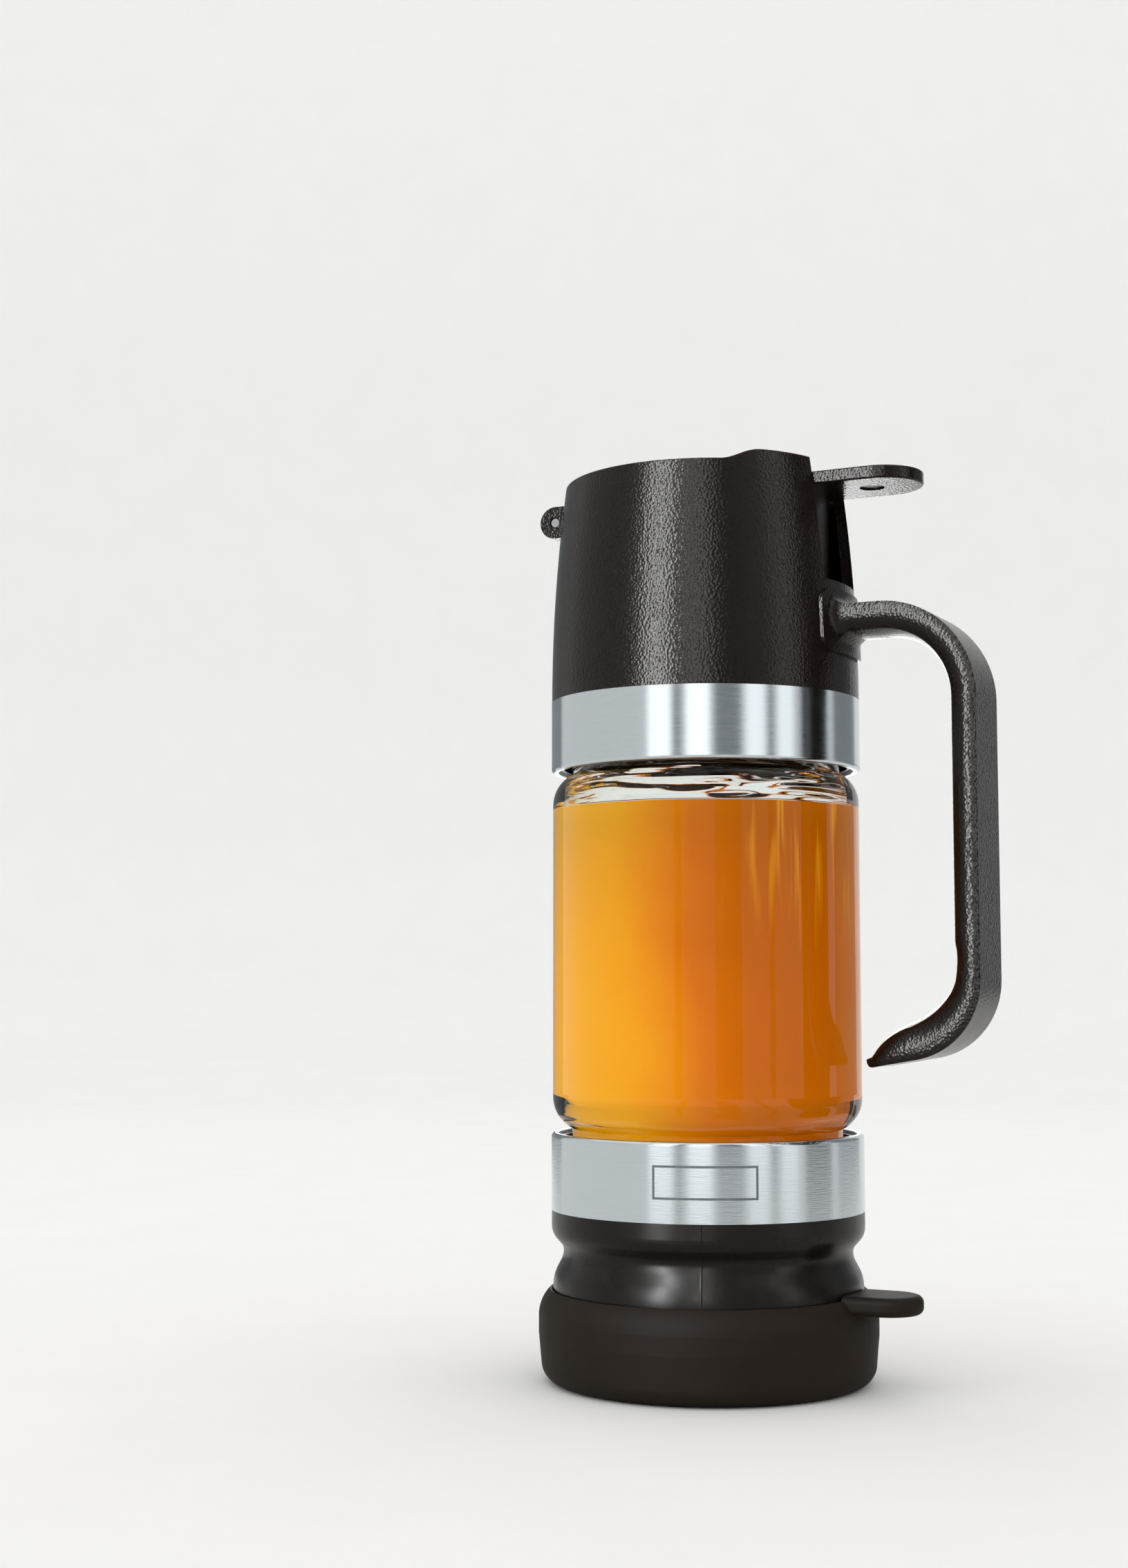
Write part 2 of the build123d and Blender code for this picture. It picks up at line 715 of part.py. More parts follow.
# Handle screws: from inside the housing into the handle's root
screw_side = handle_screw_spread / 2 + screw_head_radius
screw_wall = housing_radius_at(screw_height + screw_head_radius, -housing_wall)
screw_seat = sqrt(screw_wall**2 - screw_side**2) - press_gap
with BuildPart() as handle_screws:
    with BuildSketch(Plane.YZ.offset(screw_seat)):
        with Locations((0, screw_height)):
            with GridLocations(handle_screw_spread, 1, 2, 1):
                Circle(screw_head_radius)
    extrude(amount=-screw_head_height)
    with BuildSketch(Plane.YZ.offset(screw_seat)):
        with Locations((0, screw_height)):
            with GridLocations(handle_screw_spread, 1, 2, 1):
                Circle(screw_radius)
    extrude(amount=band_radius + handle_screw_bite - screw_seat)
    with BuildSketch(Plane.YZ.offset(screw_seat - screw_head_height)):
        with Locations((0, screw_height)):
            with GridLocations(handle_screw_spread, 1, 2, 1):
                Rectangle(cross_length, cross_width)
                Rectangle(cross_width, cross_length)
    extrude(amount=screw_recess, mode=Mode.SUBTRACT)
handle_screws.part.label = "handle_screws"
export_step(handle_screws.part, "parts/handle_screws.step")

# Pump cylinder: closed at the bottom, with a flange that sits on the housing's web
with BuildPart() as pump_cylinder:
    with BuildSketch(Plane.XY.offset(web_bottom)):
        Circle(cylinder_radius)
    extrude(amount=cylinder_height)
    with BuildSketch(Plane.XY.offset(pump_seat)):
        Circle(flange_radius)
    extrude(amount=flange_thick)
    with BuildSketch(Plane.XY.offset(floor_top)):
        Circle(bore_radius)
    extrude(amount=cylinder_height, mode=Mode.SUBTRACT)
    with BuildSketch(Plane.XY.offset(web_bottom)):
        Circle(umbrella_stem + press_gap)
        with PolarLocations(vent_offset, air_hole_count):
            Circle(air_hole_radius)
    extrude(amount=cylinder_floor, mode=Mode.SUBTRACT)
    with BuildSketch(Plane.XY.offset(pump_seat)):
        with PolarLocations(pump_screw_offset, pump_screw_count, start_angle=180 / pump_screw_count):
            Circle(screw_radius + screw_slack)
    extrude(amount=flange_thick, mode=Mode.SUBTRACT)
pump_cylinder.part.label = "pump_cylinder"
export_step(pump_cylinder.part, "parts/pump_cylinder.step")

# Pump gasket: ring between the flange and the web
with BuildPart() as pump_gasket:
    extrude(ring_sketch(web_top, web_bore, flange_radius), amount=pump_gasket_thick)
    with BuildSketch(Plane.XY.offset(web_top)):
        with PolarLocations(pump_screw_offset, pump_screw_count, start_angle=180 / pump_screw_count):
            Circle(screw_radius + screw_slack)
    extrude(amount=pump_gasket_thick, mode=Mode.SUBTRACT)
pump_gasket.part.label = "pump_gasket"
export_step(pump_gasket.part, "parts/pump_gasket.step")

# Pump screws: through flange and gasket into the web
with BuildPart() as pump_screws:
    with BuildSketch(Plane.XY.offset(pump_top)):
        with PolarLocations(pump_screw_offset, pump_screw_count, start_angle=180 / pump_screw_count):
            Circle(screw_head_radius)
    extrude(amount=screw_head_height)
    with BuildSketch(Plane.XY.offset(pump_top)):
        with PolarLocations(pump_screw_offset, pump_screw_count, start_angle=180 / pump_screw_count):
            Circle(screw_radius)
    extrude(amount=-(pump_top - web_top + pump_screw_bite))
    with BuildSketch(Plane.XY.offset(pump_top + screw_head_height)):
        with PolarLocations(pump_screw_offset, pump_screw_count, start_angle=180 / pump_screw_count):
            Rectangle(cross_length, cross_width)
            Rectangle(cross_width, cross_length)
    extrude(amount=-screw_recess, mode=Mode.SUBTRACT)
pump_screws.part.label = "pump_screws"
export_step(pump_screws.part, "parts/pump_screws.step")

# Cylinder cap: two halves that close round the stem, guide it and stop the piston, with holes
# that let air in
cap_radius = cylinder_radius + press_gap + cap_wall
with BuildPart() as cylinder_cap:
    with BuildSketch(Plane.XY.offset(cylinder_top - cap_skirt)):
        Circle(cap_radius)
    extrude(amount=cap_skirt + cap_plate)
    fillet(cylinder_cap.edges().group_by(Axis.Z)[-1], cap_plate / 3)
    with BuildSketch(Plane.XY.offset(cylinder_top)):
        Circle(cylinder_radius + press_gap)
    extrude(amount=-cap_skirt, mode=Mode.SUBTRACT)
    with BuildSketch(Plane.XY.offset(cylinder_top)):
        Circle(stem_radius + running_gap)
        with PolarLocations(cap_hole_offset, air_hole_count, start_angle=180 / air_hole_count):
            Circle(air_hole_radius)
    extrude(amount=cap_plate, mode=Mode.SUBTRACT)
    with BuildSketch(Plane.XY.offset(cylinder_top - cap_skirt)):
        Rectangle(2 * cap_radius, 2 * press_gap)
    extrude(amount=cap_skirt + cap_plate, mode=Mode.SUBTRACT)
cylinder_cap.part.label = "cylinder_cap"
export_step(cylinder_cap.part, "parts/cylinder_cap.step")

# Plunger: piston with seal groove and spring recess, stem, and head under the lever's nose
piston_radius = bore_radius - piston_side_gap
groove_radius = piston_radius - groove_depth
groove_bottom = piston_bottom + (piston_height - groove_height) / 2
post_lip_top = flap_top - flap_thick - press_gap
with BuildPart() as plunger:
    with BuildSketch(Plane.XY.offset(piston_bottom)):
        Circle(piston_radius)
    extrude(amount=piston_height)
    extrude(ring_sketch(groove_bottom, groove_radius, bore_radius), amount=groove_height, mode=Mode.SUBTRACT)
    with BuildSketch(Plane.XY.offset(piston_bottom)):
        Circle(recess_radius)
    extrude(amount=recess_roof - piston_bottom, mode=Mode.SUBTRACT)
    with BuildSketch(Plane.XY.offset(recess_roof)):
        with PolarLocations(intake_offset, air_hole_count):
            Circle(air_hole_radius)
    extrude(amount=piston_web, mode=Mode.SUBTRACT)
    with BuildSketch(Plane.XY.offset(recess_roof)):
        Circle(post_radius)
    extrude(amount=post_lip_top - recess_roof)
    with BuildSketch(Plane.XY.offset(post_lip_top)):
        Circle(post_radius + post_lip)
    extrude(amount=-post_lip)
    with BuildSketch(Plane.XY.offset(piston_top)):
        Circle(stem_radius)
    extrude(amount=head_top - piston_top)
    with BuildSketch(Plane.XY.offset(head_top)):
        Circle(head_radius)
    extrude(amount=-head_thick)
    chamfer(plunger.edges().group_by(Axis.Z)[-1], head_thick / 5)
plunger.part.label = "plunger"
export_step(plunger.part, "parts/plunger.step")

# Piston seal, in the piston's groove
with BuildPart() as piston_seal:
    extrude(
        ring_sketch(groove_bottom + press_gap, groove_radius + press_gap, bore_radius - running_gap),
        amount=groove_height - 2 * press_gap,
    )
piston_seal.part.label = "piston_seal"
export_step(piston_seal.part, "parts/piston_seal.step")

# Intake flap: hangs on the post and covers the piston's holes from below
with BuildPart() as intake_flap:
    extrude(ring_sketch(flap_top, post_radius + press_gap, flap_radius), amount=-flap_thick)
intake_flap.part.label = "intake_flap"
export_step(intake_flap.part, "parts/intake_flap.step")

# Check valve: umbrella under the cylinder's floor, held by its barb
umbrella_top = web_bottom - press_gap
with BuildPart() as check_valve:
    with BuildSketch(Plane.XY.offset(umbrella_top)):
        Circle(umbrella_radius)
    extrude(amount=-umbrella_thick)
    with BuildSketch(Plane.XY.offset(umbrella_top)):
        Circle(umbrella_stem)
    extrude(amount=cylinder_floor + 2 * press_gap)
    with BuildSketch(Plane.XY.offset(floor_top + press_gap)):
        Circle(umbrella_barb)
    extrude(amount=umbrella_thick)
check_valve.part.label = "check_valve"
export_step(check_valve.part, "parts/check_valve.step")

# Return spring: from the cylinder's floor to the roof of the piston's recess
spring_low = floor_top + spring_wire + press_gap
spring_high = recess_roof - spring_wire - press_gap
with BuildPart() as return_spring:
    with BuildLine() as coil:
        Helix(
            pitch=(spring_high - spring_low) / spring_turns,
            height=spring_high - spring_low,
            radius=spring_radius,
            center=(0, 0, spring_low),
        )
    with BuildSketch(Plane(origin=coil.line @ 0, z_dir=coil.line % 0)):
        Circle(spring_wire)
    sweep(path=coil.line, is_frenet=True)
return_spring.part.label = "return_spring"
export_step(return_spring.part, "parts/return_spring.step")

# Thumb lever: disc in the rim, thumb tab, knuckle, apron in the slot, ribs and nose
disc_radius = housing_radius_at(lever_top, -housing_wall) - lever_disc_gap
rib_length = 2 * (sqrt(disc_radius**2 - (rib_spread / 2) ** 2) - rib_setback)
thumb_centre = thumb_tip - thumb_width / 2
apron_half = thumb_width / 2 - apron_side_gap
arm_root = disc_radius - 2 * thumb_edge
with BuildPart() as thumb_lever:
    with BuildSketch(Plane.XY.offset(lever_bottom)):
        Circle(disc_radius)
        with Locations((thumb_centre / 2, 0)):
            Rectangle(thumb_centre, thumb_width)
        with Locations((thumb_centre, 0)):
            Circle(thumb_width / 2)
    extrude(amount=lever_thick)
    fillet(thumb_lever.edges().group_by(Axis.Z)[-1], thumb_edge)
    fillet(thumb_lever.edges().group_by(Axis.Z)[0], thumb_edge)
    with BuildSketch(Plane.XZ.offset(-knuckle_width / 2)):
        with Locations((-pin_reach, pin_height)):
            Circle(ear_radius)
        Polygon(
            (-pin_reach, pin_height + ear_radius),
            (-pin_reach, pin_height),
            (-arm_root, lever_bottom),
            (-arm_root, lever_top - thumb_edge),
            align=None,
        )
    extrude(amount=knuckle_width)
    with BuildSketch(Plane.XZ.offset(-knuckle_width / 2)):
        with Locations((-pin_reach, pin_height)):
            Circle(pin_radius + running_gap)
    extrude(amount=knuckle_width, mode=Mode.SUBTRACT)
    with BuildSketch(Plane.XY.offset(lever_bottom)) as apron_section:
        Circle(disc_radius)
        Circle(disc_radius - apron_thick, mode=Mode.SUBTRACT)
        with Locations((disc_radius, 0)):
            Rectangle(2 * disc_radius, 2 * apron_half, mode=Mode.INTERSECT)
        fillet(apron_section.vertices().group_by(Axis.X)[-1], apron_edge)
    extrude(amount=-apron_drop)
    with BuildSketch(Plane.XY.offset(lever_bottom)):
        with GridLocations(1, rib_spread, 1, 2):
            Rectangle(rib_length, rib_thick)
    extrude(amount=-rib_depth)
    with BuildSketch(Plane.XY.offset(lever_bottom)):
        Circle(nose_radius)
    extrude(amount=-nose_drop)
    with Locations((0, 0, lever_bottom - nose_drop)):
        Sphere(nose_radius)
    with BuildSketch(Plane.XY.offset(lever_bottom)):
        with Locations((thumb_tip - mark_from_tip, 0)):
            Circle(mark_radius)
    extrude(amount=mark_depth, mode=Mode.SUBTRACT)
thumb_lever.part.label = "thumb_lever"
export_step(thumb_lever.part, "parts/thumb_lever.step")

# Lever pin, through both ears and the knuckle
pin_half = ear_outer - pin_inset
with BuildPart() as lever_pin:
    with BuildSketch(Plane.XZ.offset(-pin_half)):
        with Locations((-pin_reach, pin_height)):
            Circle(pin_radius)
    extrude(amount=2 * pin_half)
    chamfer(lever_pin.edges().filter_by(GeomType.CIRCLE), pin_radius / 6)
lever_pin.part.label = "lever_pin"
export_step(lever_pin.part, "parts/lever_pin.step")
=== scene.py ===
from math import cos, pi, radians, sin

import bmesh
import bpy
from mathutils import Matrix, Vector


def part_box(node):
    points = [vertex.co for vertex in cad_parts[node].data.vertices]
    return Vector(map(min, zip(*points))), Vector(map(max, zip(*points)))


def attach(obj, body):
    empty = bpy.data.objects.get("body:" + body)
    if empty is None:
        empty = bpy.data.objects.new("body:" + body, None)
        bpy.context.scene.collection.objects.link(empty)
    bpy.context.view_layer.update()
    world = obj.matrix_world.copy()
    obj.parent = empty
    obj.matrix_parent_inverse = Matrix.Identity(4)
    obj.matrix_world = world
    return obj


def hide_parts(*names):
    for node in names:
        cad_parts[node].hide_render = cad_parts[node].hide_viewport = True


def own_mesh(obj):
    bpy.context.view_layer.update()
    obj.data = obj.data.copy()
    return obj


# Honey dispenser. Sizes are in millimetres and turned to metres by MM. The jar's axis is Z,
# the handle is at +X, and the lens stands 23 degrees round from the side view.
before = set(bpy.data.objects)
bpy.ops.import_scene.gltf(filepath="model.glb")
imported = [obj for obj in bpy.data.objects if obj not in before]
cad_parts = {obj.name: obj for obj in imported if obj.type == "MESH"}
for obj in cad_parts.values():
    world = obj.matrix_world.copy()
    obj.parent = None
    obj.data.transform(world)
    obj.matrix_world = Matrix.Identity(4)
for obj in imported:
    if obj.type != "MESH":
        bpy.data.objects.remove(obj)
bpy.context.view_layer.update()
MM = 0.001
VIEW_TURN = radians(23)
ACROSS = Vector((cos(VIEW_TURN), sin(VIEW_TURN), 0))
TOWARDS = Vector((sin(VIEW_TURN), -cos(VIEW_TURN), 0))
JAR_LOW, JAR_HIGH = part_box("glass_jar")

# Most values of a noise lie between these two
NOISE_LOW = 0.3
NOISE_HIGH = 0.7

# How finely a shape is turned, and how near two of its corners lie to be merged
TURN_STEPS = 96
MERGE_DISTANCE = 0.001 * MM

# Lamps and cards: their distance from the jar's axis, their length and their gap over the floor
STAND_DISTANCE = 650
STAND_LENGTH = 900
STAND_GAP = 5


def linear(code):
    """Turns an sRGB hex colour to linear values."""
    channels = [int(code[i:i + 2], 16) / 255 for i in (1, 3, 5)]
    return [c / 12.92 if c <= 0.04045 else ((c + 0.055) / 1.055) ** 2.4 for c in channels] + [1]


def node(tree, kind, inputs, **settings):
    """Adds a shader node: inputs are values or the sockets that feed them."""
    made = tree.nodes.new(kind)
    for name, value in settings.items():
        setattr(made, name, value)
    for name, value in inputs.items():
        if isinstance(value, bpy.types.NodeSocket):
            tree.links.new(value, made.inputs[name])
        else:
            made.inputs[name].default_value = value
    return made


def new_finish(name):
    """An empty material and its node tree."""
    finish = bpy.data.materials.new(name)
    finish.use_nodes = True
    finish.node_tree.nodes.clear()
    return finish, finish.node_tree


def leather_grained_abs():
    """ABS moulded in an etched tool: pebbles of about 0.6 mm that break highlights into sparks."""
    pebble_width = 0.6 * MM
    pore_width = 0.35 * MM
    pore_share = 0.4
    grain_depth = 0.1 * MM
    patch_width = 25 * MM
    finish, tree = new_finish("leather_grained_abs")
    place = node(tree, "ShaderNodeTexCoord", {}).outputs["Object"]
    pebbles = node(tree, "ShaderNodeTexVoronoi", {"Vector": place, "Scale": 1 / pebble_width})
    pores = node(
        tree, "ShaderNodeTexNoise", {"Vector": place, "Scale": 1 / pore_width, "Detail": 3.0}
    )
    grain = node(
        tree,
        "ShaderNodeMath",
        {0: pores.outputs["Fac"], 1: pore_share, 2: pebbles.outputs["Distance"]},
        operation="MULTIPLY_ADD",
    )
    relief = node(
        tree,
        "ShaderNodeBump",
        {"Strength": 0.65, "Distance": grain_depth, "Height": grain.outputs[0]},
    )
    patches = node(
        tree, "ShaderNodeTexNoise", {"Vector": place, "Scale": 1 / patch_width, "Detail": 2.0}
    )
    tone = node(
        tree,
        "ShaderNodeMix",
        {"Factor": patches.outputs["Fac"], "A": linear("#140e0a"), "B": linear("#19130e")},
        data_type="RGBA",
    )
    gloss = node(
        tree,
        "ShaderNodeMapRange",
        {
            "Value": pores.outputs["Fac"],
            "From Min": NOISE_LOW,
            "From Max": NOISE_HIGH,
            "To Min": 0.17,
            "To Max": 0.25,
        },
    )
    plastic = node(
        tree,
        "ShaderNodeBsdfPrincipled",
        {
            "Base Color": tone.outputs["Result"],
            "Roughness": gloss.outputs["Result"],
            "IOR": 1.53,
            "Specular IOR Level": 0.16,
            "Normal": relief.outputs["Normal"],
        },
    )
    node(tree, "ShaderNodeOutputMaterial", {"Surface": plastic.outputs["BSDF"]})
    return finish


def satin_moulded_abs():
    """ABS from a polished tool: satin, with faint flow marks and a parting line down each side."""
    flow_width = 6 * MM
    flow_share = 0.12
    seam_turn = radians(20.5)
    seam_core = 0.05 * MM
    seam_edge = 0.3 * MM
    seam_depth = 0.12 * MM
    finish, tree = new_finish("satin_moulded_abs")
    place = node(tree, "ShaderNodeTexCoord", {}).outputs["Object"]
    flow = node(
        tree, "ShaderNodeTexNoise", {"Vector": place, "Scale": 1 / flow_width, "Detail": 4.0}
    )
    seam_side = node(
        tree,
        "ShaderNodeVectorMath",
        {0: place, 1: (cos(seam_turn), sin(seam_turn), 0)},
        operation="DOT_PRODUCT",
    )
    seam_far = node(tree, "ShaderNodeMath", {0: seam_side.outputs["Value"]}, operation="ABSOLUTE")
    seam = node(
        tree,
        "ShaderNodeMapRange",
        {
            "Value": seam_far.outputs[0],
            "From Min": seam_core,
            "From Max": seam_edge,
            "To Min": 1.0,
            "To Max": 0.0,
        },
    )
    height = node(
        tree,
        "ShaderNodeMath",
        {0: flow.outputs["Fac"], 1: flow_share, 2: seam.outputs["Result"]},
        operation="MULTIPLY_ADD",
    )
    relief = node(
        tree,
        "ShaderNodeBump",
        {"Strength": 0.35, "Distance": seam_depth, "Height": height.outputs[0]},
    )
    gloss = node(
        tree,
        "ShaderNodeMapRange",
        {
            "Value": flow.outputs["Fac"],
            "From Min": NOISE_LOW,
            "From Max": NOISE_HIGH,
            "To Min": 0.26,
            "To Max": 0.34,
        },
    )
    plastic = node(
        tree,
        "ShaderNodeBsdfPrincipled",
        {
            "Base Color": linear("#130f0c"),
            "Roughness": gloss.outputs["Result"],
            "IOR": 1.53,
            "Specular IOR Level": 0.15,
            "Normal": relief.outputs["Normal"],
        },
    )
    node(tree, "ShaderNodeOutputMaterial", {"Surface": plastic.outputs["BSDF"]})
    return finish


def round_brushed_steel():
    """Stainless steel, brushed round the ring: fine level lines that draw reflections upwards."""
    # Real grit is finer: a line is drawn as high as it needs to show.
    line_length = 4 * MM
    line_height = 0.25 * MM
    line_depth = 0.02 * MM
    finish, tree = new_finish("round_brushed_steel")
    place = node(tree, "ShaderNodeTexCoord", {}).outputs["Object"]
    stroke = node(
        tree,
        "ShaderNodeMapping",
        {"Vector": place, "Scale": (1 / line_length, 1 / line_length, 1 / line_height)},
    )
    lines = node(
        tree,
        "ShaderNodeTexNoise",
        {"Vector": stroke.outputs["Vector"], "Scale": 1.0, "Detail": 3.0},
    )
    relief = node(
        tree,
        "ShaderNodeBump",
        {"Strength": 1.0, "Distance": line_depth, "Height": lines.outputs["Fac"]},
    )
    gloss = node(
        tree,
        "ShaderNodeMapRange",
        {
            "Value": lines.outputs["Fac"],
            "From Min": NOISE_LOW,
            "From Max": NOISE_HIGH,
            "To Min": 0.16,
            "To Max": 0.23,
        },
    )
    tone = node(
        tree,
        "ShaderNodeMix",
        {"Factor": lines.outputs["Fac"], "A": linear("#b9c1c5"), "B": linear("#c4cbce")},
        data_type="RGBA",
    )
    tangent = node(tree, "ShaderNodeTangent", {}, direction_type="RADIAL", axis="Z")
    steel = node(
        tree,
        "ShaderNodeBsdfPrincipled",
        {
            "Base Color": tone.outputs["Result"],
            "Metallic": 1.0,
            "Roughness": gloss.outputs["Result"],
            "Anisotropic": 0.8,
            "Anisotropic Rotation": 0.25,
            "Tangent": tangent.outputs["Tangent"],
            "Normal": relief.outputs["Normal"],
        },
    )
    node(tree, "ShaderNodeOutputMaterial", {"Surface": steel.outputs["BSDF"]})
    return finish


def etched_steel():
    """The same steel etched to a dull grey line, slightly uneven."""
    bite_width = 0.3 * MM
    finish, tree = new_finish("etched_steel")
    place = node(tree, "ShaderNodeTexCoord", {}).outputs["Object"]
    bite = node(
        tree, "ShaderNodeTexNoise", {"Vector": place, "Scale": 1 / bite_width, "Detail": 2.0}
    )
    tone = node(
        tree,
        "ShaderNodeMix",
        {"Factor": bite.outputs["Fac"], "A": linear("#5f676b"), "B": linear("#7b8387")},
        data_type="RGBA",
    )
    steel = node(
        tree,
        "ShaderNodeBsdfPrincipled",
        {"Base Color": tone.outputs["Result"], "Metallic": 1.0, "Roughness": 0.5},
    )
    node(tree, "ShaderNodeOutputMaterial", {"Surface": steel.outputs["BSDF"]})
    return finish


def drawn_steel():
    """Steel of the pin, screws and spring, drawn or turned: a little darker, faintly marked."""
    mark_width = 0.5 * MM
    finish, tree = new_finish("drawn_steel")
    place = node(tree, "ShaderNodeTexCoord", {}).outputs["Object"]
    marks = node(
        tree, "ShaderNodeTexNoise", {"Vector": place, "Scale": 1 / mark_width, "Detail": 2.0}
    )
    gloss = node(
        tree,
        "ShaderNodeMapRange",
        {
            "Value": marks.outputs["Fac"],
            "From Min": NOISE_LOW,
            "From Max": NOISE_HIGH,
            "To Min": 0.28,
            "To Max": 0.4,
        },
    )
    steel = node(
        tree,
        "ShaderNodeBsdfPrincipled",
        {
            "Base Color": linear("#a9aaaa"),
            "Metallic": 1.0,
            "Roughness": gloss.outputs["Result"],
        },
    )
    node(tree, "ShaderNodeOutputMaterial", {"Surface": steel.outputs["BSDF"]})
    return finish


def blown_soda_glass():
    """Blown soda glass: clear, with slow waves down the wall and swirls in the thick shoulders."""
    wave_width = 18 * MM
    wave_depth = 0.08 * MM
    # Both shoulders are alike. Their heights are counted from the jar's middle.
    jar_middle = (JAR_LOW.z + JAR_HIGH.z) / 2
    thicker_from = 32.5 * MM
    thicker_to = 42.5 * MM
    thicker_by = 3.4 * MM
    # Swirls lie level round the shoulder.
    swirl_length = 30 * MM
    swirl_height = 4 * MM
    finish, tree = new_finish("blown_soda_glass")
    place = node(tree, "ShaderNodeTexCoord", {}).outputs["Object"]
    waves = node(
        tree, "ShaderNodeTexNoise", {"Vector": place, "Scale": 1 / wave_width, "Detail": 1.0}
    )
    parts = node(tree, "ShaderNodeSeparateXYZ", {"Vector": place})
    from_middle = node(
        tree, "ShaderNodeMath", {0: parts.outputs["Z"], 1: jar_middle}, operation="SUBTRACT"
    )
    end_distance = node(
        tree, "ShaderNodeMath", {0: from_middle.outputs[0]}, operation="ABSOLUTE"
    )
    thicker = node(
        tree,
        "ShaderNodeMapRange",
        {
            "Value": end_distance.outputs[0],
            "From Min": thicker_from,
            "From Max": thicker_to,
            "To Max": thicker_by,
        },
    )
    swirl_scale = node(
        tree,
        "ShaderNodeMapping",
        {"Vector": place, "Scale": (1 / swirl_length, 1 / swirl_length, 1 / swirl_height)},
    )
    swirls = node(
        tree,
        "ShaderNodeTexNoise",
        {
            "Vector": swirl_scale.outputs["Vector"],
            "Scale": 1.0,
            "Detail": 0.0,
            "Distortion": 0.8,
        },
    )
    swirled = node(
        tree,
        "ShaderNodeMath",
        {0: thicker.outputs["Result"], 1: swirls.outputs["Fac"], 2: thicker.outputs["Result"]},
        operation="MULTIPLY_ADD",
    )
    height = node(
        tree,
        "ShaderNodeMath",
        {0: waves.outputs["Fac"], 1: wave_depth, 2: swirled.outputs[0]},
        operation="MULTIPLY_ADD",
    )
    # The height is already in metres, so the bump takes it whole.
    relief = node(
        tree,
        "ShaderNodeBump",
        {"Strength": 1.0, "Distance": 1.0, "Height": height.outputs[0]},
    )
    # A darker tint holds back reflections, which would lie over the honey like a pale veil.
    glass = node(
        tree,
        "ShaderNodeBsdfPrincipled",
        {
            "Base Color": linear("#f6fbfa"),
            "Roughness": 0.0,
            "IOR": 1.5,
            "Specular Tint": (0.45, 0.45, 0.45, 1.0),
            "Transmission Weight": 1.0,
            "Normal": relief.outputs["Normal"],
        },
    )
    node(tree, "ShaderNodeOutputMaterial", {"Surface": glass.outputs["BSDF"]})
    return finish


